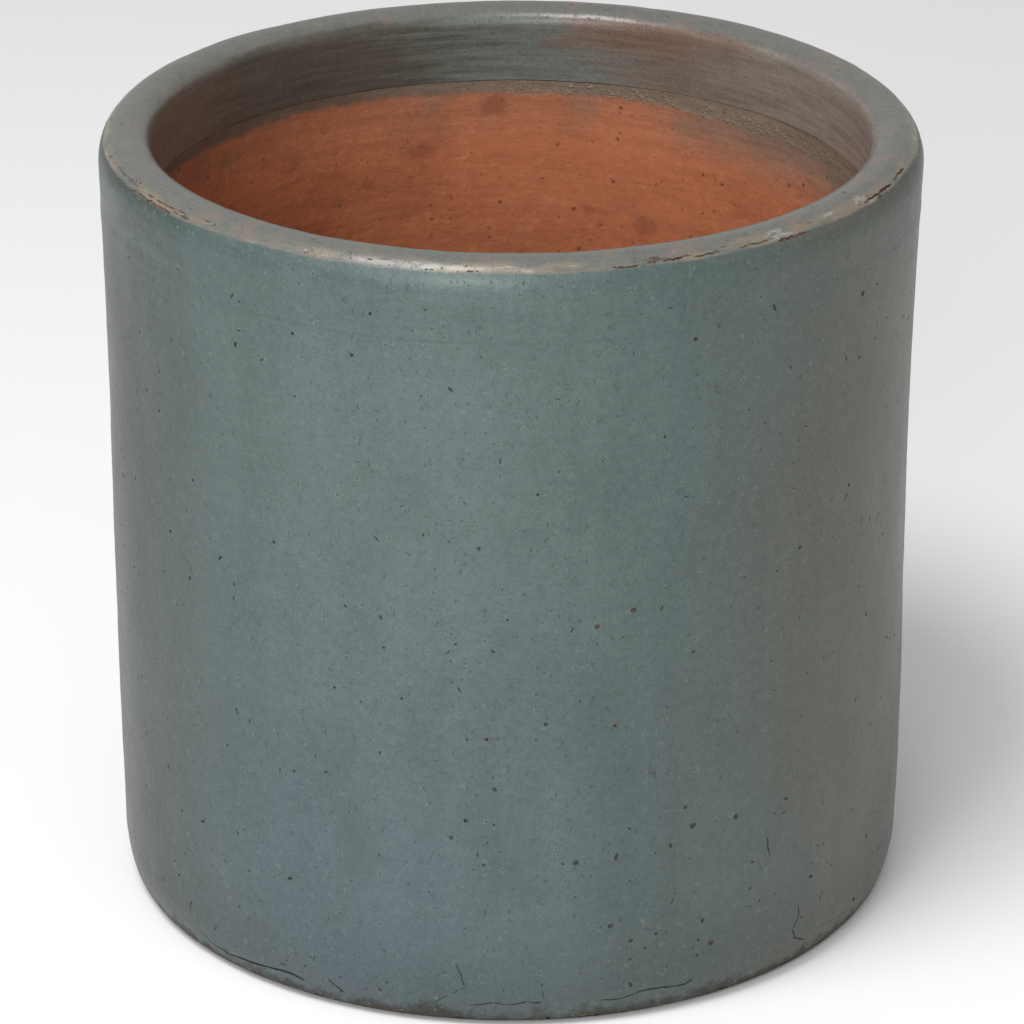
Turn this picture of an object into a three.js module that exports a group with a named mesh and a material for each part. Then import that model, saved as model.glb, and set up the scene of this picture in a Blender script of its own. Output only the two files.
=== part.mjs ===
// A glazed terracotta cylinder pot for a greenhouse, nursery or terrace.
//
// The pot is put together the way a potter builds one of this size. A thick clay slab with a
// drain hole is the base. A clay drum stands in a rebate round the slab, a thick coil is pressed
// on to the top of the drum as the rim, and one coat of glaze covers the outside, the rim and
// the lip inside. The narrow seams between the pieces are where slip, a thin liquid clay, and
// the glaze's own bond hold them together.
//
// Millimetres, +Z up, origin at the centre of the foot.

import * as THREE from "three";

// Driving dimensions
const potHeight = 372;
const rimRadius = 190; // the widest circle, just under the top of the rim
const waistRadius = 187.6; // the straight part of the wall, glaze included
const footRadius = 186.6; // where the wall turns in to the foot
const mouthRadius = 166; // the clear opening inside the glazed lip
const cavityRadius = 167.8; // the bare inside of the wall, below the glazed lip
const floorHeight = 22; // thickness of the base slab under the soil
const drainRadius = 14;

// Joints between the pieces
const slipSeam = 0.3; // gap that the slip, or the bond under the glaze, fills
const glazeThickness = 1.2;
const glazeDepth = glazeThickness + slipSeam; // from the finished surface to the clay
const footSeamHeight = 12; // outside seam between the slab and the drum
const footRebateWidth = 16; // width of the slab's ledge that the drum stands on
const rimSeamDrop = 37; // seam between the drum and the rim coil, below the top

// Rounded edges
const footTurnIn = 8; // how far the corner at the foot turns in
const footTurnUp = 24; // how high that corner reaches
const glazeFootHeight = 6; // the glaze stops this far above the ground
const shoulderDrop = 15.5; // from the top down to the widest circle
const mouthDrop = 8.5; // from the top down to the narrowest circle of the mouth
const crownRadius = 177.5; // the circle along the top of the rim
const crownSquareness = 2.1; // 2 is an ellipse; more gives a flatter top and tighter corners
const flareHeight = 120; // the wall widens over this height, up to the rim
const bellyHeight = 94; // the wall widens over this height, up from the foot
const floorFillet = 13; // clay pressed into the corner between the floor and the wall
const drainEdge = 2.5; // softened edge of the drain hole
const lipEdge = 1.5; // softened lower edge of the lip
const lipBare = 2; // the glaze stops this far above the underside of the lip

// Facets
const turnSteps = 64; // flats round each turned piece
const arcSteps = 4; // flats in a quarter circle
const footSteps = 4; // flats up the corner at the foot
const wallSteps = 7; // flats up the wall
const coilSteps = 2; // flats up the outside of the rim coil

const quarterTurn = Math.PI / 2;
const point = (radius, height) => new THREE.Vector2(radius, height);

// Evenly spaced values from one to the other, both included.
function spread(from, to, steps) {
  return Array.from(
    { length: steps + 1 },
    (_, step) => from + ((to - from) * step) / steps,
  );
}

// Radius of the finished outside at a height below the widest circle.
function outsideRadius(height) {
  const cornerDepth = Math.max(0, 1 - height / footTurnUp);
  const belly = THREE.MathUtils.clamp((height - footTurnUp) / bellyHeight, 0, 1);
  const flare = Math.max(0, 1 - (potHeight - shoulderDrop - height) / flareHeight);
  return (
    footRadius -
    footTurnIn * (1 - Math.sqrt(1 - cornerDepth ** 2)) +
    (waistRadius - footRadius) * Math.sin(belly * quarterTurn) +
    (rimRadius - waistRadius) * flare ** 2
  );
}

// The outside between two heights, going up, inset from the finished surface.
function outsideLine(fromHeight, toHeight, steps, inset) {
  return spread(fromHeight, toHeight, steps).map((height) =>
    point(outsideRadius(height) - inset, height),
  );
}

// A quarter of a superellipse about a centre, from one angle to another.
function quarter(centre, width, rise, fromAngle, toAngle, squareness = 2) {
  const along = (share) =>
    Math.sign(share) * Math.abs(share) ** (2 / squareness);
  return spread(fromAngle, toAngle, arcSteps).map((angle) =>
    point(
      centre.x + width * along(Math.cos(angle)),
      centre.y + rise * along(Math.sin(angle)),
    ),
  );
}

// The rim's section from the widest circle over the top to the mouth, inset as above.
function rimCrown(inset) {
  const outer = quarter(
    point(crownRadius, potHeight - shoulderDrop),
    rimRadius - crownRadius - inset,
    shoulderDrop - inset,
    0,
    quarterTurn,
    crownSquareness,
  );
  const inner = quarter(
    point(crownRadius, potHeight - mouthDrop),
    crownRadius - mouthRadius - inset,
    mouthDrop - inset,
    quarterTurn,
    2 * quarterTurn,
    crownSquareness,
  );
  return [...outer, ...inner.slice(1)];
}

// Turns a closed section, listed anticlockwise with the axis to its left, into a solid ring.
function turned(name, section, material) {
  const mesh = new THREE.Mesh(
    new THREE.LatheGeometry([...section, section[0].clone()], turnSteps),
    material,
  );
  mesh.name = name;
  return mesh;
}

const rebateRadius = outsideRadius(footSeamHeight) - glazeDepth - footRebateWidth;

// The floor: a disc with a drain hole, and a rebate round its edge for the drum to stand in.
function baseSlab(clay) {
  return turned(
    "base_slab",
    [
      point(drainRadius, drainEdge),
      point(drainRadius + drainEdge, 0),
      ...outsideLine(0, footSeamHeight, footSteps, glazeDepth),
      point(rebateRadius, footSeamHeight),
      point(rebateRadius, floorHeight),
      point(drainRadius + drainEdge, floorHeight),
      point(drainRadius, floorHeight - drainEdge),
    ],
    clay,
  );
}

// The wall: a drum standing in the slab's rebate, its foot pressed out over the floor.
function wallDrum(clay) {
  const seat = footSeamHeight + slipSeam;
  const floor = floorHeight + slipSeam;
  const top = potHeight - rimSeamDrop - slipSeam;
  const fillet = quarter(
    point(cavityRadius - floorFillet, floor + floorFillet),
    floorFillet,
    floorFillet,
    0,
    -quarterTurn,
  );
  return turned(
    "wall_drum",
    [
      point(rebateRadius + slipSeam, seat),
      point(outsideRadius(seat) - glazeDepth, seat),
      ...outsideLine(footTurnUp, top, wallSteps, glazeDepth),
      point(cavityRadius, top),
      ...fillet,
      point(rebateRadius + slipSeam, floor),
    ],
    clay,
  );
}

// The rim: a thick coil pressed on to the drum's top edge, nearly flush with it on both sides.
function rimCoil(clay) {
  const underside = potHeight - rimSeamDrop;
  const widest = potHeight - shoulderDrop;
  const lipFace = mouthRadius + glazeDepth;
  return turned(
    "rim_coil",
    [
      point(lipFace + lipEdge, underside),
      ...outsideLine(underside, widest, coilSteps, glazeDepth).slice(0, -1),
      ...rimCrown(glazeDepth),
      point(lipFace, underside + lipEdge),
    ],
    clay,
  );
}

// One side of the glaze, from just above the foot, over the rim, to the edge of the lip.
function glazeFace(inset) {
  const widest = potHeight - shoulderDrop;
  return [
    ...outsideLine(glazeFootHeight, footTurnUp, footSteps, inset),
    ...outsideLine(footTurnUp, widest, wallSteps, inset).slice(1, -1),
    ...rimCrown(inset),
    point(mouthRadius + inset, potHeight - rimSeamDrop + lipBare),
  ];
}

// The glaze: one glassy skin over the outside, the rim and the lip.
function glazeCoat(glaze) {
  const section = [...glazeFace(0), ...glazeFace(glazeThickness).reverse()];
  return turned("glaze_coat", section, glaze);
}

const firedClay = new THREE.MeshStandardMaterial({
  color: 0x91563b,
  roughness: 0.92,
  metalness: 0,
});
const stoneGlaze = new THREE.MeshStandardMaterial({
  color: 0x6b7a77,
  roughness: 0.4,
  metalness: 0,
});

const pot = new THREE.Group();
pot.rotation.x = quarterTurn; // the turned pieces are made about Y, and the pot stands along Z
pot.add(
  baseSlab(firedClay),
  wallDrum(firedClay),
  rimCoil(firedClay),
  glazeCoat(stoneGlaze),
);

export default pot;
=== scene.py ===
import bmesh
import bpy
import math
import random
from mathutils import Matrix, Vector


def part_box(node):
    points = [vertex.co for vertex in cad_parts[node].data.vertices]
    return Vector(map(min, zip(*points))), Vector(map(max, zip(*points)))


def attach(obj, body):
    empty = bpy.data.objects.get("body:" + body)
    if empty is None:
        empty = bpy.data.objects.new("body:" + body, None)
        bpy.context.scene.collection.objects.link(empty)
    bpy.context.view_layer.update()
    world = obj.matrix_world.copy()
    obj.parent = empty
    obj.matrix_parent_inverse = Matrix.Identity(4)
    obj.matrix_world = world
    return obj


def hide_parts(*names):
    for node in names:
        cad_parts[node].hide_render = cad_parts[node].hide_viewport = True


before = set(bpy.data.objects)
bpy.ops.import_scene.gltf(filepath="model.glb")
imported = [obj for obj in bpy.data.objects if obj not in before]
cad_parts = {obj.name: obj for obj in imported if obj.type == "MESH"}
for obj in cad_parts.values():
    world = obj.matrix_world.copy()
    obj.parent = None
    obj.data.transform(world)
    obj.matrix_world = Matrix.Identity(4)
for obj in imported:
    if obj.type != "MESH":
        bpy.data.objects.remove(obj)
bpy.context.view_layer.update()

mm = 0.001  # the frame is in metres


def reach(node):
    # smallest and largest radius of a CAD node, and its lowest and highest point
    radii = [math.hypot(v.co.x, v.co.y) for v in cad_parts[node].data.vertices]
    low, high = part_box(node)
    return {"inner": min(radii), "outer": max(radii), "low": low.z, "high": high.z}


coatReach = reach("glaze_coat")
slabReach = reach("base_slab")
mouthRadius = coatReach["inner"]
rimRadius = coatReach["outer"]
potHeight = coatReach["high"]
drainRadius = slabReach["inner"]
floorHeight = slabReach["high"]
rimSeam = reach("rim_coil")["low"]
drumTop = reach("wall_drum")["high"]
cavityRadius = min(math.hypot(v.co.x, v.co.y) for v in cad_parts["wall_drum"].data.vertices
                   if v.co.z > potHeight / 2)


# Blender habits used all through

def clearSelection():
    if bpy.context.mode != "OBJECT":
        bpy.ops.object.mode_set(mode="OBJECT")
    bpy.ops.object.select_all(action="DESELECT")


def takeUp(piece):
    clearSelection()
    piece.select_set(True)
    bpy.context.view_layer.objects.active = piece


def applyModifiers(piece):
    takeUp(piece)
    for modifier in list(piece.modifiers):
        bpy.ops.object.modifier_apply(modifier=modifier.name)


def rename(piece, name):
    piece.name = name
    piece.data.name = name


def discard(piece):
    takeUp(piece)
    bpy.ops.object.delete()


def between(start, end, step):
    # evenly spaced values from start to end, about a step apart
    count = max(1, round(abs(end - start) / step))
    return [start + (end - start) * i / count for i in range(count + 1)]


def onWall(turn, height, radius):
    # a place on the pot: turn in degrees from the front, growing to the right
    angle = math.radians(turn)
    return Vector((radius * math.sin(angle), -radius * math.cos(angle), height))


def quarter(centre, width, rise, fromAngle, toAngle, steps, squareness):
    # part of a superellipse, as (radius, height) points
    points = []
    for angle in between(math.radians(fromAngle), math.radians(toAngle), math.radians(90) / steps):
        across, up = math.cos(angle), math.sin(angle)
        points.append((centre[0] + width * math.copysign(abs(across) ** (2 / squareness), across),
                       centre[1] + rise * math.copysign(abs(up) ** (2 / squareness), up)))
    return points


def throwOnWheel(name, section, steps):
    # a closed section of (radius, height) points, turned once round the axis
    clearSelection()
    bpy.ops.mesh.primitive_plane_add(size=mm, location=(section[0][0], 0, section[0][1]))
    piece = bpy.context.object
    rename(piece, name)
    bpy.ops.object.mode_set(mode="EDIT")
    bpy.ops.mesh.merge(type="CENTER")
    for start, end in zip(section, section[1:]):
        bpy.ops.mesh.extrude_vertices_move(
            TRANSFORM_OT_translate={"value": (end[0] - start[0], 0, end[1] - start[1])})
    bpy.ops.mesh.select_all(action="DESELECT")
    outline = bmesh.from_edit_mesh(piece.data)
    for vertex in outline.verts:
        vertex.select = len(vertex.link_edges) == 1  # the two loose ends
    outline.select_flush_mode()
    bmesh.update_edit_mesh(piece.data)
    bpy.ops.mesh.edge_face_add()
    bpy.ops.mesh.select_all(action="SELECT")
    bpy.ops.mesh.spin(steps=steps, angle=2 * math.pi, use_auto_merge=True,
                      center=(0, 0, 0), axis=(0, 0, 1))
    bpy.ops.mesh.select_all(action="SELECT")
    bpy.ops.mesh.remove_doubles(threshold=0.01 * mm)
    bpy.ops.mesh.normals_make_consistent(inside=False)
    bpy.ops.object.mode_set(mode="OBJECT")
    bpy.ops.object.transform_apply(location=True, rotation=True, scale=True)
    return piece


def weigh(piece, name, weight):
    # a vertex group whose weight depends on radius and height
    group = piece.vertex_groups.new(name=name)
    for vertex in piece.data.vertices:
        share = weight(math.hypot(vertex.co.x, vertex.co.y), vertex.co.z)
        if share > 0:
            group.add([vertex.index], min(1, share), "REPLACE")
    return name


def roughen(piece, name, size, depth, direction="NORMAL", group="", bumps=2):
    # pushes the surface in and out by cloudy noise, depth from the lowest to the highest point
    clouds = bpy.data.textures.new(name, "CLOUDS")
    clouds.noise_scale = size
    clouds.noise_depth = bumps
    displace = piece.modifiers.new(name, "DISPLACE")
    displace.texture = clouds
    displace.texture_coords = "LOCAL"
    displace.direction = direction
    displace.strength = depth
    displace.mid_level = 0.5
    displace.vertex_group = group


# The kiln cage pulls every piece out of true in the same way, as drying and firing do

kilnCage = {
    "layers": 6,  # of control points up the pot
    "across": 4,  # control points along each side
    "margin": 12 * mm,
    "seed": 11,
    "wander": 1.3 * mm,  # sideways, either way
    "rimWave": 1.0 * mm,  # up and down, at the rim only
    "lean": [-1.6, -0.8, -1.2, -1.2, -0.7, -0.3],  # sideways shift of each layer in mm, foot to rim
    "rimLift": 1.9 * mm,  # the left of the rim stands a little higher
    "backDip": 1.4 * mm,  # and dips behind it
    "footPush": (2.4 * mm, 1.0 * mm, 3.0 * mm, 4.2 * mm),  # the front of the foot bulges, left to right
    "smoothAngle": 38,  # degrees, sharper edges stay crisp
}


def makeKilnCage():
    clearSelection()
    bpy.ops.object.add(type="LATTICE", location=(0, 0, potHeight / 2))
    cage = bpy.context.object
    rename(cage, "kilnCage")
    side = 2 * (rimRadius + kilnCage["margin"])
    cage.scale = (side, side, potHeight + 2 * kilnCage["margin"])
    across, layers = kilnCage["across"], kilnCage["layers"]
    cage.data.points_u = across
    cage.data.points_v = across
    cage.data.points_w = layers
    cage.data.interpolation_type_w = "KEY_BSPLINE"
    dice = random.Random(kilnCage["seed"])
    for index, point in enumerate(cage.data.points):
        layer = index // (across * across)
        x = dice.uniform(-1, 1) * kilnCage["wander"] + kilnCage["lean"][layer] * mm
        y = dice.uniform(-1, 1) * kilnCage["wander"]
        z = dice.uniform(-1, 1) * kilnCage["rimWave"] if layer > layers - 3 else 0
        column, row = index % across, index % (across * across) // across
        if layer == layers - 1 and column == 0:
            z += kilnCage["rimLift"]
        if layer == layers - 1 and column == 1 and row == across - 1:
            z -= kilnCage["backDip"]
        if layer == 0 and row == 0:
            y -= kilnCage["footPush"][column]
        shift = Vector((x / cage.scale.x, y / cage.scale.y, z / cage.scale.z))
        point.co_deform = point.co_deform + shift
    bpy.context.view_layer.update()
    return cage


cage = makeKilnCage()


def fire(piece):
    # the cage is the last modifier, and everything is applied
    warp = piece.modifiers.new("firing", "LATTICE")
    warp.object = cage
    applyModifiers(piece)
    bpy.ops.object.shade_smooth_by_angle(angle=math.radians(kilnCage["smoothAngle"]))


# The glaze coat: the outside, the rim and the lip

glaze = {
    "steps": 320,  # round the pot
    "row": 4 * mm,  # height of a row of faces
    "hem": 2.2 * mm,  # the glaze stops just above the ground
    "thickness": 1.2 * mm,
    "lipGap": 0.1 * mm,  # between the end of the lip and the seam of the coil
    "footRadius": 186.6 * mm,
    "waistRadius": rimRadius - 2.4 * mm,
    "turnIn": 8 * mm,
    "turnUp": 24 * mm,
    "belly": 94 * mm,
    "flare": 120 * mm,
    "shoulderDrop": 15.5 * mm,
    "mouthDrop": 8.5 * mm,
    "crown": rimRadius - 12.5 * mm,
    "squareness": 2.1,
    "seamRidge": 0.16 * mm,  # where the rim coil meets the wall
    "ridgeWidth": 3 * mm,
    "grooveRise": 8 * mm,  # the groove lies this far above the ridge
    "grooveWidth": 3.5 * mm,
    "footRow": 2 * mm,  # finer rows where the foot turns in
    "backRow": 24 * mm,  # rows of the hidden face, up the wall and round the foot
    "backFootRow": 3 * mm,
    "dents": 0.7 * mm,
    "dentSize": 45 * mm,
    "ripples": 0.28 * mm,
    "rippleSize": 9 * mm,
}


def outsideRadius(height):
    depth = max(0, 1 - height / glaze["turnUp"])
    belly = min(1, max(0, (height - glaze["turnUp"]) / glaze["belly"]))
    flare = max(0, 1 - (potHeight - glaze["shoulderDrop"] - height) / glaze["flare"])
    ridge = math.exp(-((height - rimSeam) / glaze["ridgeWidth"]) ** 2)
    groove = math.exp(-((height - rimSeam - glaze["grooveRise"]) / glaze["grooveWidth"]) ** 2)
    return (glaze["footRadius"] - glaze["turnIn"] * (1 - math.sqrt(1 - depth ** 2))
            + (glaze["waistRadius"] - glaze["footRadius"]) * math.sin(belly * math.pi / 2)
            + (rimRadius - glaze["waistRadius"]) * flare ** 2 + glaze["seamRidge"] * (ridge - groove))


def crown(inset, steps):
    outer = quarter((glaze["crown"], potHeight - glaze["shoulderDrop"]),
                    rimRadius - glaze["crown"] - inset, glaze["shoulderDrop"] - inset,
                    0, 90, steps, glaze["squareness"])
    inner = quarter((glaze["crown"], potHeight - glaze["mouthDrop"]),
                    glaze["crown"] - mouthRadius - inset, glaze["mouthDrop"] - inset,
                    90, 180, steps, glaze["squareness"])
    return outer + inner[1:]


def makeGlazeCoat():
    widest = potHeight - glaze["shoulderDrop"]
    lipEnd = rimSeam + glaze["lipGap"]
    corner = [(outsideRadius(z), z) for z in between(glaze["hem"], glaze["turnUp"], glaze["footRow"])]
    wall = [(outsideRadius(z), z) for z in between(glaze["turnUp"], widest, glaze["row"])]
    lip = [(mouthRadius, z) for z in between(potHeight - glaze["mouthDrop"], lipEnd, glaze["row"])]
    skin = corner + wall[1:-1] + crown(0, 9) + lip[1:]
    inset = glaze["thickness"]
    back = [(mouthRadius + inset, lipEnd)] + list(reversed(crown(inset, 3)))
    for start, end, step in ((widest, glaze["turnUp"], glaze["backRow"]),
                             (glaze["turnUp"], glaze["hem"], glaze["backFootRow"])):
        back += [(outsideRadius(z) - inset, z) for z in between(start, end, step)[1:]]
    return throwOnWheel("glazeCoat", skin + back, glaze["steps"])


coat = makeGlazeCoat()
print("glaze coat thrown", len(coat.data.polygons), "faces")


# The drum of bare clay inside the glaze

drum = {
    "steps": 360,
    "row": 3.2 * mm,
    "backRow": 20 * mm,
    "fingerRings": 0.12 * mm,  # left by the potter's fingers on the inside
    "ringSpacing": 13 * mm,
    "shoulder": 26 * mm,
    "lipStep": 0.3 * mm,  # how far the lip's glaze stands proud of the clay
    "floorGap": 0.3 * mm,
    "insideBand": 1.5 * mm,  # what is no further out than this counts as the inside
    "dents": 0.8 * mm,
    "dentSize": 50 * mm,
    "grain": 0.5 * mm,
    "grainSize": 6 * mm,
    "glazeDepth": 1.5 * mm,
    "seat": 12.3 * mm,
    "rebateRadius": 168.3 * mm,
    "fillet": 13 * mm,
}


def insideRadius(height):
    wave = math.sin(height / drum["ringSpacing"] * 2 * math.pi)
    drift = math.sin(height / drum["ringSpacing"] * 2 * math.pi / 2.7 + 1)
    shoulder = max(0, 1 - (drumTop - height) / drum["shoulder"])  # closes up to meet the lip
    return (cavityRadius + drum["fingerRings"] * (0.6 * wave + 0.6 * drift - 0.4)
            - (cavityRadius - mouthRadius - drum["lipStep"]) * shoulder ** 2)


def makeWallDrum():
    floor = floorHeight + drum["floorGap"]
    outside = [(outsideRadius(z) - drum["glazeDepth"], z)
               for z in between(drum["seat"], drumTop, drum["backRow"])]
    inside = [(insideRadius(z), z) for z in between(drumTop, floor + drum["fillet"], drum["row"])]
    fillet = quarter((cavityRadius - drum["fillet"], floor + drum["fillet"]),
                     drum["fillet"], drum["fillet"], 0, -90, 6, 2)
    section = [(drum["rebateRadius"], drum["seat"])] + outside + inside + fillet[1:]
    section += [(drum["rebateRadius"], floor)]
    piece = throwOnWheel("wallDrum", section, drum["steps"])
    limit = cavityRadius + drum["insideBand"]
    insideOnly = weigh(piece, "inside", lambda radius, height: 1 if radius < limit else 0)
    roughen(piece, "wallDents", drum["dentSize"], drum["dents"], group=insideOnly)
    roughen(piece, "wallGrain", drum["grainSize"], drum["grain"], group=insideOnly, bumps=3)
    fire(piece)
    return piece


wall = makeWallDrum()
print("wall drum thrown", len(wall.data.polygons), "faces")


# The rim coil, seen only where the glaze is chipped through

rimCoil = {"steps": 240, "row": 5 * mm, "glazeDepth": 1.5 * mm, "edge": 1.5 * mm}


def makeRimCoil():
    inset, edge, row = rimCoil["glazeDepth"], rimCoil["edge"], rimCoil["row"]
    lipFace = mouthRadius + inset
    widest = potHeight - glaze["shoulderDrop"]
    outside = [(outsideRadius(z) - inset, z) for z in between(rimSeam, widest, row)]
    lip = [(lipFace, z) for z in between(potHeight - glaze["mouthDrop"], rimSeam + edge, row)]
    section = outside[:-1] + crown(inset, 5) + lip[1:] + [(lipFace + edge, rimSeam)]
    piece = throwOnWheel("rimCoil", section, rimCoil["steps"])
    fire(piece)
    return piece


rim = makeRimCoil()
print("rim coil thrown", len(rim.data.polygons), "faces")


# The base slab: the floor inside, the bare foot and the drain hole

slab = {
    "steps": 300,
    "ring": 4 * mm,
    "cornerRow": 2 * mm,
    "seat": 12 * mm,  # the drum stands at this height
    "rebateRadius": 168 * mm,
    "drainEdge": 2.5 * mm,
    "footInset": 0.2 * mm,  # of the bare foot behind the glaze's face
    "glazeDepth": 1.5 * mm,
    "hemGap": 0.3 * mm,  # below the glaze
    "throwing": 0.5 * mm,  # the rings on the floor
    "spiral": 16 * mm,
    "dents": 1.0 * mm,
    "dentSize": 30 * mm,
}


def makeBaseSlab():
    edge, gap = slab["drainEdge"], slab["hemGap"]
    under = [(r, 0) for r in between(drainRadius + edge, outsideRadius(0) - slab["footInset"], slab["ring"])]
    step = (outsideRadius(glaze["hem"] - 2 * gap) - slab["footInset"], glaze["hem"] - 2 * gap)
    behind = [(outsideRadius(z) - slab["glazeDepth"], z)
              for z in between(glaze["hem"] - gap, slab["seat"], slab["cornerRow"])]
    floor = [(r, floorHeight - slab["throwing"] * (1 + math.sin(r / slab["spiral"] * 2 * math.pi)))
             for r in between(slab["rebateRadius"], drainRadius + edge, slab["ring"])]
    bore = quarter((drainRadius + edge, floorHeight - edge), edge, edge, 90, 180, 3, 2)[1:]
    mouth = quarter((drainRadius + edge, edge), edge, edge, 180, 270, 3, 2)[:-1]
    section = mouth + under + [step] + behind + floor + bore
    piece = throwOnWheel("baseSlab", section, slab["steps"])
    insideOnly = weigh(piece, "inside", lambda radius, height: 1 if height > slab["seat"] else 0)
    roughen(piece, "floorDents", slab["dentSize"], slab["dents"], direction="Z", group=insideOnly)
    fire(piece)
    return piece


base = makeBaseSlab()
print("base slab thrown", len(base.data.polygons), "faces")


# Finishes, written as sums of patterns

class Wire:
    # one value, colour or vector of a finish
    def __init__(self, finish, socket):
        self.finish = finish
        self.socket = socket

    def maths(self, operation, first, second):
        return self.finish.node("ShaderNodeMath", {"operation": operation}, {0: first, 1: second})

    def __add__(self, other):
        return self.maths("ADD", self, other)

    def __radd__(self, other):
        return self.maths("ADD", other, self)

    def __sub__(self, other):
        return self.maths("SUBTRACT", self, other)

    def __rsub__(self, other):
        return self.maths("SUBTRACT", other, self)

    def __mul__(self, other):
        return self.maths("MULTIPLY", self, other)

    def __rmul__(self, other):
        return self.maths("MULTIPLY", other, self)

    def __truediv__(self, other):
        return self.maths("DIVIDE", self, other)

    def __pow__(self, other):
        return self.maths("POWER", self, other)


class Finish:
    # a material and the few nodes that its patterns are made of
    def __init__(self, name):
        self.material = bpy.data.materials.new(name)
        self.material.use_nodes = True
        self.tree = self.material.node_tree
        self.shader = self.tree.nodes["Principled BSDF"]
        self.place = self.node("ShaderNodeTexCoord", output="Object")
        x, y, self.z = [self.node("ShaderNodeSeparateXYZ", inputs={0: self.place}, output=axis)
                        for axis in "XYZ"]
        self.radius = (x * x + y * y) ** 0.5
        self.side = x / self.radius  # -1 at the left, 1 at the right

    def node(self, kind, settings=None, inputs=None, output=0):
        made = self.tree.nodes.new(kind)
        for setting, value in (settings or {}).items():
            setattr(made, setting, value)
        for socket, value in (inputs or {}).items():
            self.feed(made.inputs[socket], value)
        return Wire(self, made.outputs[output])

    def feed(self, socket, value):
        if isinstance(value, Wire):
            self.tree.links.new(value.socket, socket)
        elif socket.type == "RGBA":
            socket.default_value = (*value, 1)
        else:
            socket.default_value = value

    def vector(self, operation, *values, output=0):
        return self.node("ShaderNodeVectorMath", {"operation": operation}, dict(enumerate(values)), output)

    def elsewhere(self, seed):
        # an offset that gives each seed its own stretch of noise
        return seed * 7.3, seed * 3.1, seed * 5.7

    def clouds(self, size, detail=3, grain=0.55, stretch=(1, 1, 1), seed=0):
        # soft noise from 0 to 1, whose lumps are about size across, longer where stretch is more
        scale = tuple(1 / (size * share) for share in stretch)
        spot = self.vector("MULTIPLY_ADD", self.place, scale, self.elsewhere(seed))
        return self.node("ShaderNodeTexNoise", None,
                         {"Vector": spot, "Scale": 1, "Detail": detail, "Roughness": grain}, "Fac")

    def dots(self, size, dot, share, seed=0, ragged=0.35):
        # dots in cells of this size, dot is their radius against the cell's, ragged shakes their outline
        shaken = self.node("ShaderNodeTexNoise", None,
                           {"Vector": self.place, "Scale": 2.2 / (size * dot), "Detail": 1}, "Color")
        shift = self.vector("MULTIPLY_ADD", shaken, (ragged,) * 3, self.elsewhere(seed))
        spot = self.vector("MULTIPLY_ADD", self.place, (1 / size,) * 3, shift)
        cells = self.node("ShaderNodeTexVoronoi", None, {"Vector": spot, "Scale": 1}, "Distance")
        chance = self.node("ShaderNodeTexVoronoi", None, {"Vector": spot, "Scale": 1}, "Color")
        picked = self.node("ShaderNodeSeparateXYZ", None, {0: chance}, "X")
        return self.ease(cells, dot, dot * 0.5) * self.ease(picked, share + 0.02, share)

    def ease(self, value, start, end):
        # 0 up to start, 1 from end on, smooth between them
        return self.node("ShaderNodeMapRange", {"interpolation_type": "SMOOTHSTEP"},
                         {"Value": value, "From Min": start, "From Max": end})

    def limit(self, value):
        return self.node("ShaderNodeClamp", None, {"Value": value})

    def paint(self, under, over, mask):
        made = self.tree.nodes.new("ShaderNodeMix")
        made.data_type = "RGBA"
        for index, value in ((0, mask), (6, under), (7, over)):
            self.feed(made.inputs[index], value)
        return Wire(self, made.outputs[2])

    def shade(self, colour, amount):
        return self.node("ShaderNodeVectorMath", {"operation": "SCALE"}, {0: colour, "Scale": amount})

    def mark(self, turn, height, width, tall, radius, seed=0):
        # a soft-edged mark, width and height in mm, with a ragged outline
        centre = onWall(turn, height * mm, radius)
        rough = self.clouds(0.35 * min(width, tall) * mm, 3, 0.6, seed=seed + turn)
        offset = self.vector("SUBTRACT", self.place, tuple(centre))
        offset = self.vector("MULTIPLY", offset, (2 / (width * mm), 2 / (width * mm), 2 / (tall * mm)))
        distance = self.vector("LENGTH", offset, output="Value")
        return self.ease(distance + (rough - 0.5) * 1.6, 1.25, 0.35)

    def finishWith(self, colour, roughness, bump=None, depth=0):
        self.feed(self.shader.inputs["Base Color"], colour)
        self.feed(self.shader.inputs["Roughness"], roughness)
        if bump:
            raised = {"Height": bump, "Distance": depth, "Strength": 0.9}
            self.feed(self.shader.inputs["Normal"], self.node("ShaderNodeBump", None, raised, "Normal"))
        return self.material


glazeColours = {
    "green": (0.088, 0.126, 0.120),
    "blue": (0.083, 0.117, 0.130),
    "deep": (0.058, 0.087, 0.083),
    "olive": (0.092, 0.089, 0.067),
    "rimGrey": (0.122, 0.124, 0.111),
    "rimPink": (0.165, 0.132, 0.108),
    "wornTan": (0.190, 0.160, 0.118),
    "wornPaleAndHighlight": (0.290, 0.285, 0.255),
    "bareBrown": (0.060, 0.036, 0.022),
    "pinhole": (0.036, 0.050, 0.046),
    "fleck": (0.165, 0.200, 0.182),
    "grime": (0.026, 0.022, 0.016),
    "grit": (0.210, 0.170, 0.120),
    "bandBrown": (0.150, 0.118, 0.096),
    "bandRed": (0.150, 0.088, 0.064),
    "bandTeal": (0.118, 0.132, 0.118),
    "bandDark": (0.066, 0.062, 0.048),
    "bandPale": (0.205, 0.182, 0.156),
}


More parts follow.
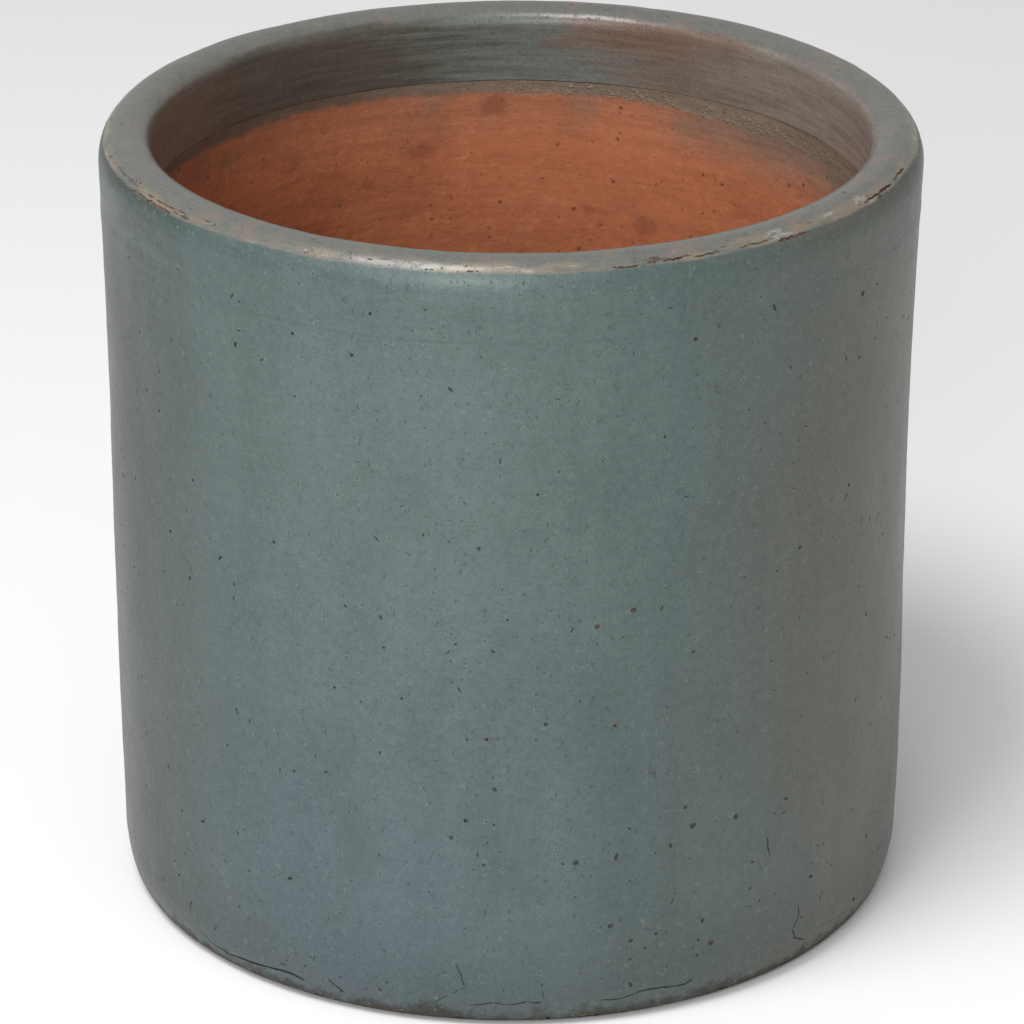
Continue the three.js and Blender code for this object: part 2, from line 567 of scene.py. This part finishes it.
def makeStoneGlaze():
    colours = glazeColours
    mix = Finish("stoneGlaze")
    below = potHeight - mix.z  # how far below the top
    wobble = mix.clouds(22 * mm, 3, 0.6, seed=1) - 0.5
    small = mix.clouds(4 * mm, 3, 0.6, seed=2) - 0.5
    tiny = mix.clouds(1.3 * mm, 2, 0.7, seed=3) - 0.5

    # the wall: green high up, bluer low on the left, olive towards the right
    broad = mix.clouds(120 * mm, 3, 0.5, seed=4)
    low = mix.ease(mix.z, 0.27, 0.05)
    leftward = mix.ease(mix.side, 0.30, -0.20) * mix.ease(mix.side, -0.92, -0.55)
    bluer = mix.limit(leftward * low * 0.8 + mix.ease(broad, 0.48, 0.68) * 0.5)
    colour = mix.paint(colours["green"], colours["blue"], bluer)
    patchy = mix.clouds(38 * mm, 4, 0.6, stretch=(1, 1, 1.6), seed=5)
    colour = mix.paint(colour, colours["deep"], mix.ease(patchy, 0.42, 0.72) * 0.45)
    # the right half is darker and olive towards the right edge: partly the glaze's own tone, partly painted
    # shade on the side turned away from the lamps
    rightHalfShade = mix.ease(mix.side + (patchy - 0.5) * 0.4, -0.1, 0.4)
    colour = mix.paint(colour, colours["deep"], rightHalfShade * 0.45)
    toRight = mix.side + (broad - 0.5) * 0.5 + (patchy - 0.5) * 0.25
    colour = mix.paint(colour, colours["olive"], mix.ease(toRight, 0.36, 0.86) * 0.9)
    # painted shade at the left edge in deep green, and an olive tint at the very edge that stands in for the
    # warm reflection there
    colour = mix.paint(colour, colours["deep"], mix.ease(mix.side, -0.45, -0.85) * 0.65)
    colour = mix.paint(colour, colours["olive"], mix.ease(mix.side, -0.80, -1.0) * 0.5)

    # painted shade: darker towards the foot and round both sides
    paintedHeightShade = 0.16 * mix.ease(mix.z, 0.015, 0.06) + 0.04 * mix.ease(mix.z, 0.08, 0.32)
    paintedSideShade = 0.42 * mix.ease(mix.side, -0.66, -0.97) + 0.24 * mix.ease(mix.side, 0.80, 1.0)
    colour = mix.shade(colour, 0.68 + paintedHeightShade)
    colour = mix.shade(colour, 1 - paintedSideShade)

    # darker brushwork between the rim and the seam of the coil
    brushed = mix.clouds(3.2 * mm, 4, 0.6, stretch=(14, 14, 1), seed=6)
    dabs = mix.clouds(7 * mm, 4, 0.65, stretch=(1.8, 1.8, 1), seed=13)
    neck = mix.ease(below, 6 * mm, 10 * mm) * mix.ease(below + wobble * 20 * mm, 46 * mm, 26 * mm)
    strokes = mix.ease(brushed * 0.6 + dabs * 0.5 + wobble * 0.3, 0.48, 0.68)
    colour = mix.paint(colour, colours["deep"], neck * strokes * 0.8)
    fromSeam = below - 36 * mm + wobble * 3 * mm
    seamLine = mix.ease(fromSeam * fromSeam, (1.1 * mm) ** 2, 0)
    colour = mix.paint(colour, colours["deep"], seamLine * 0.7)

    # soft bands from the sprayer, running up the wall, then the grain, flecks and pinholes
    bands = mix.clouds(16 * mm, 2, 0.5, stretch=(1, 1, 30), seed=7)
    grain = 1 + small * 0.45 + tiny * 0.75 + (bands - 0.5) * 0.2 + (brushed - 0.5) * 0.12
    colour = mix.shade(colour, grain)
    pin = mix.dots(3.6 * mm, 0.19, 0.42, seed=1, ragged=0.5)
    larger = mix.dots(8 * mm, 0.13, 0.45, seed=2, ragged=0.3)
    fleck = mix.dots(4.6 * mm, 0.15, 0.42, seed=3, ragged=0.5)
    nicks = mix.ease(mix.clouds(2.1 * mm, 3, 0.62, stretch=(1, 1, 1.5), seed=14), 0.645, 0.70)
    halo = mix.limit(mix.dots(3.6 * mm, 0.32, 0.42, seed=1, ragged=0.5) * 0.3
                     + mix.dots(8 * mm, 0.21, 0.45, seed=2, ragged=0.3) * 0.45)
    colour = mix.paint(colour, colours["fleck"], mix.limit(fleck * 0.75 + halo))
    dark = mix.limit(pin * 0.6 + larger * 0.75 + nicks * 0.65)
    colour = mix.paint(colour, colours["pinhole"], dark)

    # grey top of the rim, with pink and tan patches
    outward = mix.ease(mix.radius, mouthRadius + 9 * mm, mouthRadius + 13 * mm)
    top = mix.ease(below + wobble * 2.2 * mm + small * 1.2 * mm, 5.4 * mm, 4.6 * mm)
    rimColour = mix.shade(colours["rimGrey"], 1 + small * 0.35 + tiny * 0.5)
    smears = mix.clouds(5 * mm, 4, 0.6, stretch=(3, 3, 1), seed=8)
    rimColour = mix.paint(rimColour, colours["rimPink"], mix.ease(smears, 0.51, 0.67) * 0.8)
    rimColour = mix.paint(rimColour, colours["deep"], mix.ease(smears, 0.42, 0.30) * 0.4)
    rimColour = mix.paint(rimColour, colours["fleck"], fleck * 0.5)
    rimColour = mix.paint(rimColour, colours["bareBrown"], larger * 0.5)
    colour = mix.paint(colour, rimColour, top)

    # the worn corner: tan streaks where it has rubbed thin, pale streaks that are partly rubbed glaze and
    # partly a painted highlight, brown where it is through
    depth = below + wobble * 2 * mm
    corner = mix.ease(depth, 1.0 * mm, 2.2 * mm) * mix.ease(depth, 5.6 * mm, 4.2 * mm) * outward
    rub = mix.clouds(3 * mm, 4, 0.62, stretch=(7, 7, 1), seed=9)
    worn = mix.clouds(55 * mm, 2, 0.5, seed=15)
    rubbed = mix.ease(rub + (worn - 0.5) * 0.7, 0.42, 0.60)
    colour = mix.paint(colour, colours["wornTan"], corner * rubbed * 0.85)
    # pale streaks: partly wear, partly painted highlight along the corner
    paler = mix.clouds(2 * mm, 4, 0.65, stretch=(6, 6, 1), seed=16)
    paleWearAndHighlight = mix.ease(paler + (worn - 0.5) * 0.3, 0.60, 0.68)
    colour = mix.paint(colour, colours["wornPaleAndHighlight"], corner * paleWearAndHighlight * 0.7)
    scratches = mix.clouds(2.2 * mm, 3, 0.6, stretch=(7, 7, 1), seed=10)
    through = mix.ease(scratches - (worn - 0.5) * 0.5, 0.66, 0.72)
    colour = mix.paint(colour, colours["bareBrown"], corner * through * 0.8)

    # the lip inside: brown and grey, dark and streaky at the left, teal at the back, reddish to its right
    inside = mix.ease(mix.radius, mouthRadius + 4.5 * mm, mouthRadius + 1.2 * mm)
    inside = inside * mix.ease(below + wobble * 6 * mm, 2 * mm, 5 * mm)
    washes = mix.clouds(24 * mm, 4, 0.6, stretch=(2, 2, 0.5), seed=11) - 0.5
    streaks = mix.clouds(2.6 * mm, 4, 0.62, stretch=(16, 16, 1), seed=12) - 0.5
    middle = mix.ease(mix.side + washes * 0.5, -0.55, -0.2) * mix.ease(mix.side + washes * 0.5, 0.42, 0.16)
    band = mix.paint(colours["bandBrown"], colours["bandTeal"], middle)
    leftSide = mix.ease(mix.side + washes * 0.8 + streaks * 0.5, -0.02, -0.42)
    leftSide = leftSide * mix.ease(mix.side, -1.0, -0.75)
    band = mix.paint(band, colours["bandDark"], leftSide * 0.85)
    reddish = mix.ease(mix.side + washes * 0.4, 0.02, 0.2) * mix.ease(mix.side + washes * 0.4, 0.75, 0.45)
    upper = mix.ease(below + streaks * 16 * mm, 24 * mm, 15 * mm)
    band = mix.paint(band, colours["bandRed"], reddish * upper * 0.75)
    band = mix.paint(band, colours["bandPale"], mix.ease(mix.side + washes * 0.6, 0.45, 0.85) * 0.7)
    band = mix.shade(band, 0.98 + streaks + tiny * 0.5 + small * 0.3)
    colour = mix.paint(colour, band, inside)

    # grime and grit along the foot
    ragged = small * 12 * mm + wobble * 22 * mm
    grimy = mix.ease(mix.z + ragged, 11 * mm, 3 * mm)
    colour = mix.paint(colour, colours["grime"], grimy * 0.85)
    grit = mix.dots(3 * mm, 0.30, 0.35, seed=5, ragged=0.6) * mix.ease(mix.z + ragged, 12 * mm, 3 * mm)
    colour = mix.paint(colour, colours["grit"], grit * 0.75)

    rim = mix.limit(top + corner)
    roughness = 0.40 + (patchy - 0.5) * 0.2 + tiny * 0.25 - rim * 0.10 + grimy * 0.35 + dark * 0.3
    bump = (tiny * 0.42 + small * 0.8) * (1 - rim * 0.65) + brushed * (0.15 + neck * 0.5)
    bump = bump - dark + fleck * 0.5 + halo * 0.4
    return mix.finishWith(colour, mix.limit(roughness), bump, depth=0.26 * mm)


# turn in degrees, height, width and tallness in mm of each stain on the inside
stains = [(183, 321, 16, 12), (167, 268, 8, 6), (157, 262, 15, 12), (196, 300, 22, 9), (205, 285, 9, 6),
          (40, 240, 24, 12), (-60, 200, 30, 16), (-110, 280, 18, 10), (95, 250, 22, 12)]

clayColours = {
    "terracotta": (0.400, 0.132, 0.054),
    "dark": (0.262, 0.078, 0.032),
    "pale": (0.460, 0.190, 0.098),
    "overspray": (0.165, 0.140, 0.108),
    "deposit": (0.290, 0.240, 0.180),
    "stain": (0.170, 0.042, 0.022),
    "soot": (0.045, 0.026, 0.018),
    "grime": (0.036, 0.029, 0.021),
    "dust": (0.300, 0.185, 0.130),
}


def makeFiredClay():
    colours = clayColours
    mix = Finish("firedClay")
    wobble = mix.clouds(26 * mm, 4, 0.6, seed=21) - 0.5
    small = mix.clouds(5 * mm, 3, 0.6, seed=22) - 0.5
    tiny = mix.clouds(1.5 * mm, 2, 0.7, seed=23) - 0.5
    broad = mix.clouds(70 * mm, 4, 0.55, seed=24)
    drawn = mix.clouds(3.5 * mm, 4, 0.6, stretch=(12, 12, 1), seed=25) - 0.5  # lines left by the rib
    colour = mix.paint(colours["terracotta"], colours["dark"], mix.ease(broad, 0.46, 0.76) * 0.55)
    colour = mix.paint(colour, colours["pale"], mix.ease(small + wobble * 0.6, 0.06, 0.34) * 0.45)
    colour = mix.paint(colour, colours["dark"], mix.ease(mix.z, 0.27, 0.12) * 0.35)
    colour = mix.shade(colour, 1 + drawn * 0.4 + tiny * 0.3 + small * 0.35)

    # glaze blown over the clay below the lip, and the pale gritty tide line that it ends in
    edge = rimSeam - 4.5 * mm - mix.ease(mix.side, 0.1, 0.9) * 3 * mm
    depth = edge - mix.z + wobble * 7 * mm + small * 3 * mm
    blown = 0.16 + 0.8 * mix.ease(mix.side, 0.3, 0.8) + 0.5 * mix.ease(broad + wobble * 0.6, 0.50, 0.70)
    haze = mix.ease(depth, 36 * mm, 0) * blown
    solid = mix.ease(depth, 4.5 * mm, -1.5 * mm)
    misted = mix.limit(mix.limit(haze) + solid) * mix.ease(mix.radius, 0.12, 0.15)
    over = mix.shade(colours["overspray"], 1 + drawn * 0.9 + tiny * 0.6)
    over = mix.paint(over, glazeColours["bandDark"], mix.ease(mix.side, -0.2, -0.6) * 0.6)
    colour = mix.paint(colour, over, misted * 0.9)
    gritty = mix.ease(tiny + small * 0.7, -0.02, 0.2)
    tide = mix.ease(depth, 4.5 * mm, 1 * mm) * mix.ease(depth, -5 * mm, 0) * mix.ease(mix.side, -0.1, 0.25)
    colour = mix.paint(colour, colours["deposit"], tide * (0.15 + gritty * 0.5))

    # stains, scratches and small black pits
    for turn, height, width, tall in stains:
        stained = mix.mark(turn, height, width, tall, cavityRadius, seed=turn)
        colour = mix.paint(colour, colours["stain"], stained * 0.45)
    scratch = mix.ease(mix.clouds(1.6 * mm, 2, 0.5, stretch=(9, 9, 1), seed=28), 0.70, 0.76)
    colour = mix.paint(colour, colours["deposit"], scratch * 0.35)
    soot = mix.dots(10 * mm, 0.11, 0.45, seed=26)
    freckles = mix.dots(5 * mm, 0.14, 0.4, seed=27, ragged=0.5)
    colour = mix.paint(colour, colours["soot"], mix.limit(soot * 0.85 + freckles * 0.35))

    # dusty underside, and grime round the outside of the foot
    colour = mix.paint(colour, colours["dust"], mix.ease(mix.z, 4 * mm, 0.5 * mm) * 0.6)
    foot = mix.ease(mix.radius, 0.172, 0.176) * mix.ease(mix.z, 14 * mm, 9 * mm)
    colour = mix.paint(colour, colours["grime"], foot * mix.limit(0.9 + wobble))
    bump = small * 1.2 + tiny * 0.25 + drawn * 0.5 + tide * gritty * 1.5
    bump = bump - soot * 1.5 - freckles * 0.8 - scratch * 0.4
    return mix.finishWith(colour, mix.limit(0.84 + small * 0.2 - misted * 0.25), bump, depth=0.4 * mm)


def makeCutFinish(name, colour, other, roughness):
    # the inside of a pit or a chip
    mix = Finish(name)
    mottled = mix.paint(colour, other, mix.ease(mix.clouds(1.6 * mm, 2), 0.35, 0.65))
    return mix.finishWith(mottled, roughness)


stoneGlaze = makeStoneGlaze()
firedClay = makeFiredClay()
pitShadow = makeCutFinish("pitShadow", (0.022, 0.032, 0.029), (0.050, 0.064, 0.058), 0.7)
chippedClay = makeCutFinish("chippedClay", (0.050, 0.032, 0.022), (0.150, 0.090, 0.062), 0.85)
coat.data.materials.append(stoneGlaze)
for piece in (wall, rim, base):
    piece.data.materials.append(firedClay)
print("finishes mixed")


# Blemishes, cut out of the glaze before it is fired: burst bubbles, nicks, cracks and chips

blemishes = {
    "seed": 4,
    "bubbles": 480,
    "commas": 460,
    "smallest": 0.36 * mm,
    "largest": 0.9 * mm,
    # turn in degrees, height and radius in mm
    "burst": [(26, 94, 1.9), (14, 50, 1.5), (17, 41, 1.3), (9, 84, 1.4), (33, 93, 1.5), (25, 331, 1.2),
              (21, 287, 1.0), (-17, 188, 1.0), (-8, 97, 1.1), (-4, 239, 1.1), (-31, 118, 1.0),
              (5, 154, 1.1), (-2, 122, 1.2)],
    # bubbles burst through to the clay
    "bare": [(12, 200, 1.2), (17, 206, 1.3), (14.5, 151, 1.0), (28, 44, 1.3), (29.5, 31, 1.4),
             (56, 327, 1.5), (-3, 147, 0.9), (112, 250, 1.3), (-150, 120, 1.6), (171, 210, 1.4)],
    # turn in degrees and height in mm along each crack
    "cracks": [
        [(-7.5, 33), (-6.8, 27), (-6.4, 21), (-8, 17), (-10.5, 12), (-13, 8)],
        [(-51, 13), (-48.5, 9), (-45, 8.5), (-41, 10), (-37, 11), (-33, 12), (-30, 10)],
        [(-52.5, 27), (-53, 23), (-52.3, 19)],
        [(-26.5, 15), (-25.3, 11.5), (-24, 9)],
        [(-6, 11), (-2.5, 13), (0, 12), (2.6, 13.5), (4.5, 12.5)],
        [(4.6, 19), (4.8, 13)],
        [(13, 12), (16, 11), (19, 13.5), (22, 14), (25, 12.5), (27, 14)],
        [(45.5, 34), (45.8, 28), (44.6, 22), (45.2, 17), (47.5, 13), (51, 15), (55, 14), (60, 13)],
        [(38.5, 79), (38.8, 74), (39.2, 67)],
        [(95, 16), (101, 13), (108, 12), (116, 14), (122, 12)],
        [(148, 34), (149, 27), (147.5, 21), (150, 16)],
        [(-92, 12), (-99, 14), (-106, 12)],
        [(-140, 28), (-138.5, 22), (-141, 16), (-146, 13), (-152, 12)],
        [(178, 14), (184, 12), (190, 13), (197, 11)],
    ],
    "crackWidth": 1.0 * mm,
    # along the worn corner: from and to turn in degrees, drop below the top and width in mm
    "scars": [(-72, -62, 3.5, 0.9), (-66, -53, 5.5, 0.9), (-60, -50, 3.6, 0.8), (14, 17, 4.4, 1.3),
              (20.5, 23.5, 3.6, 1.2), (25, 29, 3.8, 1.0), (38.5, 43.5, 5.0, 1.7), (32, 37, 3.6, 0.8),
              (57, 66, 3.8, 1.1), (67, 72, 3.4, 1.2), (98, 104, 4, 1.2), (131, 134, 5, 1.4),
              (160, 171, 4, 1.0), (-118, -109, 4, 1.1), (-149, -146, 5, 1.5)],
    "jog": 0.8 * mm,  # how crooked the cracks and scars are
    "flakes": 60,  # small chips along the worn corner
    "hemBites": 80,  # places where the glaze's lower edge is ragged
    "lowest": 9 * mm,  # the pits' place on the wall
    "highest": potHeight - 21 * mm,
}


def moulded(name, segments, rings):
    # the lump that one kind of blemish is stamped with, a metre across
    clearSelection()
    bpy.ops.mesh.primitive_uv_sphere_add(segments=segments, ring_count=rings, radius=0.5)
    lump = bpy.context.object
    rename(lump, name)
    return lump


def makeStamps():
    bubble = moulded("bubbleStamp", 8, 5)
    flake = moulded("flakeStamp", 9, 6)
    bpy.ops.object.mode_set(mode="EDIT")
    bpy.ops.transform.vertex_random(offset=0.12, seed=5)
    bpy.ops.object.mode_set(mode="OBJECT")
    clearSelection()
    bpy.ops.mesh.primitive_circle_add(vertices=6, radius=0.05, fill_type="NGON", location=(0, 0, 0.5))
    comma = bpy.context.object
    rename(comma, "commaStamp")
    bpy.ops.object.mode_set(mode="EDIT")
    bend = [(0.03, -0.25), (0.08, -0.25), (0.16, -0.22), (0.22, -0.16)]
    across, up = 0, 0.5
    for index, (stepAcross, stepUp) in enumerate(bend):
        across += stepAcross
        up += stepUp
        bpy.ops.mesh.extrude_region_move(TRANSFORM_OT_translate={"value": (stepAcross, 0, stepUp)})
        swell = (2.4, 1.1, 0.8, 0.4)[index]
        bpy.ops.transform.resize(value=(swell,) * 3, center_override=(across, 0, up))
    bpy.ops.object.mode_set(mode="OBJECT")
    return {"bubble": bubble, "flake": flake, "comma": comma}


stamps = makeStamps()


def anywhere(dice):
    # a height on the wall, more often low than high
    return blemishes["lowest"] + (blemishes["highest"] - blemishes["lowest"]) * dice.random() ** 1.5


def press(kind, turn, height, radius, size, twist=0.0, lean=0.0):
    # one copy of a stamp, set against the wall; size is its width, depth and height
    copy = stamps[kind].copy()
    copy.data = stamps[kind].data.copy()
    bpy.context.collection.objects.link(copy)
    copy.location = onWall(turn, height, radius)
    copy.rotation_euler = (lean, twist, math.radians(turn))
    copy.scale = size
    return copy


def gather(name, pressed):
    clearSelection()
    for copy in pressed:
        copy.select_set(True)
    bpy.context.view_layer.objects.active = pressed[0]
    bpy.ops.object.join()
    cutter = bpy.context.object
    rename(cutter, name)
    bpy.ops.object.transform_apply(location=True, rotation=True, scale=True)
    return cutter


def pressPits():
    dice = random.Random(blemishes["seed"])
    pressed = []
    for turn, height, radius in blemishes["burst"]:
        across = 2 * radius * mm
        size = (across, 0.8 * across, across * dice.uniform(0.7, 1.1))
        pressed.append(press("bubble", turn, height * mm, outsideRadius(height * mm) + 0.1 * across,
                             size, twist=dice.uniform(-0.6, 0.6)))
    for _ in range(blemishes["bubbles"]):
        height = anywhere(dice)
        spread = blemishes["largest"] - blemishes["smallest"]
        across = 2 * (blemishes["smallest"] + spread * dice.random() ** 3)
        stretch = 1 + 1.5 * dice.random() ** 2
        pressed.append(press("flake", dice.uniform(-180, 180), height, outsideRadius(height),
                             (across, across, across * stretch), twist=dice.uniform(-1.2, 1.2)))
    for _ in range(blemishes["commas"]):
        height = anywhere(dice)
        length = (1.4 + 2.8 * dice.random() ** 2) * mm
        pressed.append(press("comma", dice.uniform(-180, 180), height, outsideRadius(height) + 0.05 * mm,
                             (length * dice.choice((-1.0, 1.0)), 3.0 * mm, length),
                             twist=dice.uniform(-1.4, 1.4)))
    return gather("pits", pressed)


def cornerRadius(drop):
    # of the worn outer corner, by its drop below the top
    share = 1 - min(1, drop / glaze["shoulderDrop"])
    power = glaze["squareness"]
    return glaze["crown"] + (rimRadius - glaze["crown"]) * (1 - share ** power) ** (1 / power)


def pressFlakes():
    dice = random.Random(blemishes["seed"] + 2)
    pressed = []
    for turn, height, radius in blemishes["bare"]:
        across = 2 * radius * mm
        pressed.append(press("flake", turn, height * mm, outsideRadius(height * mm) - 0.1 * mm,
                             (across, 0.8 * across, across)))
    for _ in range(blemishes["flakes"]):
        drop = dice.uniform(1.2, 5) * mm
        length = (1 + 4 * dice.random() ** 3) * mm
        pressed.append(press("flake", dice.uniform(-180, 180), potHeight - drop, cornerRadius(drop),
                             (length, 0.7 * mm, 1.1 * mm), lean=0.7))
    for _ in range(blemishes["hemBites"]):
        length = (2 + 10 * dice.random() ** 2) * mm
        pressed.append(press("flake", dice.uniform(-180, 180), glaze["hem"] + dice.uniform(-0.5, 0.8) * mm,
                             outsideRadius(glaze["hem"]) + 0.3 * mm,
                             (length, 2 * mm, dice.uniform(2, 5) * mm), twist=dice.uniform(-0.2, 0.2)))
    return gather("flakes", pressed)


def carve(name, paths):
    # a crooked groove along each path, thin at both ends
    clearSelection()
    bpy.ops.mesh.primitive_uv_sphere_add(segments=6, ring_count=4, radius=0.4 * mm,
                                         location=onWall(180, potHeight / 2, rimRadius - 2.2 * mm))
    cutter = bpy.context.object
    rename(cutter, name)
    bpy.ops.object.transform_apply(location=True, rotation=True, scale=True)
    bpy.ops.object.mode_set(mode="EDIT")
    dice = random.Random(blemishes["seed"] + len(paths))
    for places, breadth in paths:
        crooked = [places[0]]
        for near, far in zip(places, places[1:]):
            for share in (0.34, 0.67, 1):
                jog = Vector([dice.uniform(-0.45, 0.45) * blemishes["jog"] for _ in range(3)])
                crooked.append(near.lerp(far, share) + jog)
        heading = (crooked[1] - crooked[0]).normalized()
        bpy.ops.mesh.select_all(action="DESELECT")
        bpy.ops.mesh.primitive_circle_add(
            vertices=6, radius=0.2 * breadth, fill_type="NGON", location=crooked[0],
            rotation=heading.to_track_quat("Z", "Y").to_euler())
        for index, (near, far) in enumerate(zip(crooked, crooked[1:])):
            bpy.ops.mesh.extrude_region_move(TRANSFORM_OT_translate={"value": far - near})
            if index == 0:
                swell = 2.4
            elif index == len(crooked) - 2:
                swell = 0.35
            else:
                swell = dice.uniform(0.85, 1.18)
            bpy.ops.transform.resize(value=(swell,) * 3, center_override=far)
    bpy.ops.object.mode_set(mode="OBJECT")
    return cutter


def crackPaths():
    return [([onWall(turn, height * mm, outsideRadius(height * mm)) for turn, height in crack],
             blemishes["crackWidth"]) for crack in blemishes["cracks"]]


def scarPaths():
    paths = []
    for start, end, drop, width in blemishes["scars"]:
        radius = cornerRadius(drop * mm)
        places = [onWall(turn, potHeight - drop * mm, radius) for turn in between(start, end, 1.6)]
        paths.append((places, width * mm))
    return paths


def cutAway(piece, cutter, material):
    takeUp(cutter)
    bpy.ops.object.mode_set(mode="EDIT")
    bpy.ops.mesh.select_all(action="SELECT")
    bpy.ops.mesh.normals_make_consistent(inside=False)
    bpy.ops.object.mode_set(mode="OBJECT")
    cutter.data.materials.clear()
    cutter.data.materials.append(material)
    cut = piece.modifiers.new("cut", "BOOLEAN")
    cut.operation = "DIFFERENCE"
    cut.solver = "MANIFOLD"
    cut.object = cutter
    cut.material_mode = "TRANSFER"
    applyModifiers(piece)
    discard(cutter)


roughen(coat, "dents", glaze["dentSize"], glaze["dents"])
roughen(coat, "ripples", glaze["rippleSize"], glaze["ripples"])
applyModifiers(coat)
for name, cutter, material in (("pits", pressPits(), pitShadow), ("flakes", pressFlakes(), chippedClay),
                               ("cracks", carve("cracks", crackPaths()), pitShadow),
                               ("scars", carve("scars", scarPaths()), chippedClay)):
    cutAway(coat, cutter, material)
    print(name, "cut,", len(coat.data.polygons), "faces")
for stamp in stamps.values():
    discard(stamp)
fire(coat)
discard(cage)

for piece, node, slot in ((coat, "glaze_coat", "stone_glaze"), (wall, "wall_drum", "fired_clay"),
                          (rim, "rim_coil", "fired_clay"), (base, "base_slab", "fired_clay")):
    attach(piece, "root")
    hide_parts(node)
print("pieces in place")


# Studio: pale floor, soft lights and camera

studio = {
    "floorSize": 14,
    "floorColour": (0.93, 0.93, 0.93),
    "sky": 0.50,
    "lens": 175.8,
    "distance": 12.498 * 0.19,
    "elevation": 23.33,  # degrees
    "aimDrop": 0.058 * 0.19,  # the camera looks this far below the middle
    # name, direction towards the light, distance, size, energy
    "lamps": [("keyLamp", (-0.27, -0.34, 0.90), 2.6, 1.1, 42),
              ("frontLamp", (-0.24, -0.92, 0.40), 3.2, 1.6, 46)],
}

clearSelection()
bpy.ops.mesh.primitive_plane_add(size=studio["floorSize"], location=(0, 0, -0.5 * mm))
floor = bpy.context.object
rename(floor, "studioFloor")
paleFloor = bpy.data.materials.new("paleFloor")
paleFloor.use_nodes = True
floorShader = paleFloor.node_tree.nodes["Principled BSDF"]
floorShader.inputs["Base Color"].default_value = (*studio["floorColour"], 1)
floorShader.inputs["Roughness"].default_value = 0.85
floor.data.materials.append(paleFloor)

tilt = math.radians(studio["elevation"])
middle = potHeight / 2
bpy.ops.object.camera_add(location=(0, -studio["distance"] * math.cos(tilt),
                                    middle + studio["distance"] * math.sin(tilt)))
eye = bpy.context.object
eye.data.lens = studio["lens"]
eye.data.clip_end = 50
aim = Vector((0, 0, middle - studio["aimDrop"]))
eye.rotation_euler = (aim - eye.location).to_track_quat("-Z", "Y").to_euler()
bpy.context.scene.camera = eye

target = Vector((0, 0, middle))
for name, direction, distance, size, energy in studio["lamps"]:
    bpy.ops.object.light_add(type="AREA", location=target + Vector(direction).normalized() * distance)
    lamp = bpy.context.object
    lamp.name = name
    lamp.data.shape = "DISK"
    lamp.data.size = size
    lamp.data.energy = energy
    lamp.rotation_euler = (target - lamp.location).to_track_quat("-Z", "Y").to_euler()

sky = bpy.data.worlds.new("studioSky")
bpy.context.scene.world = sky
sky.use_nodes = True
sky.node_tree.nodes["Background"].inputs["Color"].default_value = (1, 1, 1, 1)
sky.node_tree.nodes["Background"].inputs["Strength"].default_value = studio["sky"]
bpy.context.scene.view_settings.view_transform = "Standard"

print("studio ready")
